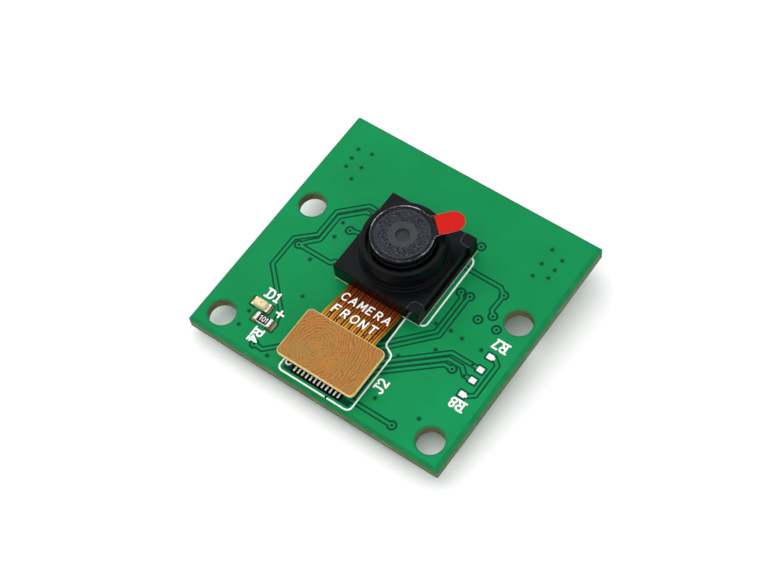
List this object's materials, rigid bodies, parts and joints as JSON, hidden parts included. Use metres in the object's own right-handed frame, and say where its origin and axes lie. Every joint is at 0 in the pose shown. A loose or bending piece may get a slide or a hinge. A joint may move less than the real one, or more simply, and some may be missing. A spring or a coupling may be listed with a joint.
{
  "type": "camera board",
  "caption": "Bare camera board: a lens module on a small circuit board, joined to it by a short flexible circuit, with a latching ribbon cable socket on the back.",
  "frame": {"origin": "centre of the four mounting holes, on the board's back face", "axes": "+Z out of the lens, square to the board; +Y out of the ribbon socket, along the short side; +X along the long side"},
  "size_m": [0.025, 0.024, 0.0086],
  "materials": {
    "amber_flex": "polyimide film over copper tracks",
    "black_barrel": "satin",
    "black_moulding": "fine moulded grain",
    "black_overcoat": "glossy",
    "board_mask": "glossy green solder mask over glass fibre board",
    "capacitor_ceramic": "matte",
    "clear_film": "clear glossy film",
    "connector_plastic": "satin",
    "cream_resin": "translucent resin",
    "dark_ceramic": "matte",
    "filter_glass": "clear, coated",
    "foam_tape": "matte double-sided foam tape",
    "gold_contacts": "gold plated",
    "golden_stiffener": "satin laminate",
    "latch_plastic": "satin",
    "lens_glass": "clear, coated",
    "lid_metal": "satin",
    "package_resin": "moulded epoxy",
    "pale_ceramic": "matte",
    "pale_plate": "satin",
    "red_film": "glossy film",
    "silicon": "polished",
    "socket_plastic": "satin",
    "tinned_metal": "bright tin"
  },
  "bodies": {
    "root": {"back_resistor_1_caps": "tinned_metal", "back_resistor_1_core": "pale_ceramic", "back_resistor_1_overcoat": "black_overcoat", "back_resistor_2_caps": "tinned_metal", "back_resistor_2_core": "pale_ceramic", "back_resistor_2_overcoat": "black_overcoat", "capacitor_1_caps": "tinned_metal", "capacitor_1_core": "capacitor_ceramic", "capacitor_2_caps": "tinned_metal", "capacitor_2_core": "capacitor_ceramic", "capacitor_3_caps": "tinned_metal", "capacitor_3_core": "capacitor_ceramic", "capacitor_4_caps": "tinned_metal", "capacitor_4_core": "capacitor_ceramic", "capacitor_5_caps": "tinned_metal", "capacitor_5_core": "capacitor_ceramic", "circuit_board": "board_mask", "flex_circuit": "amber_flex", "flex_stiffener": "golden_stiffener", "header_contacts": "gold_contacts", "header_housing": "connector_plastic", "image_sensor": "silicon", "infrared_filter": "filter_glass", "led_base": "pale_ceramic", "led_caps": "tinned_metal", "led_dome": "cream_resin", "lens_holder": "black_moulding", "module_plate": "pale_plate", "module_tape": "foam_tape", "oscillator_base": "dark_ceramic", "oscillator_lid": "lid_metal", "plug_contacts": "gold_contacts", "plug_housing": "connector_plastic", "regulator_1_body": "package_resin", "regulator_1_leads": "tinned_metal", "regulator_2_body": "package_resin", "regulator_2_leads": "tinned_metal", "regulator_3_body": "package_resin", "regulator_3_leads": "tinned_metal", "resistor_caps": "tinned_metal", "resistor_core": "pale_ceramic", "resistor_overcoat": "black_overcoat", "ribbon_contacts": "tinned_metal", "ribbon_hold_downs": "tinned_metal", "ribbon_housing": "socket_plastic", "solder_pads": "tinned_metal", "transistor_body": "package_resin", "transistor_leads": "tinned_metal"},
    "latch": {"ribbon_latch": "latch_plastic"},
    "lens_stack": {"front_lens": "lens_glass", "lens_spacer": "black_barrel", "middle_lens": "lens_glass", "rear_lens": "lens_glass"},
    "lens_barrel": {"lens_barrel": "black_barrel", "lens_retainer": "black_barrel"},
    "film": {"lens_film": "clear_film", "film_pull_tab": "red_film"}
  },
  "joints": [
    {"name": "latch_slide", "type": "slide", "parent": "root", "child": "latch", "axis": [0, 1, 0], "range_m": [0, 0.0015]},
    {"name": "focus_travel", "type": "slide", "parent": "root", "child": "lens_stack", "axis": [0, 0, 1], "range_m": [-0.000175, 0.00035]},
    {"name": "focus_turn", "type": "hinge", "parent": "lens_stack", "child": "lens_barrel", "pos_m": [-0.0003, 0.00575, 0.003], "axis": [0, 0, 1], "range_deg": [-181, 361]},
    {"name": "film_lift", "type": "slide", "parent": "lens_barrel", "child": "film", "axis": [0, 0, 1], "range_m": [0, 0.008]}
  ],
  "couplings": [
    {"joint": "focus_turn", "follows": "focus_travel", "rad_per_m": 17952}
  ]
}
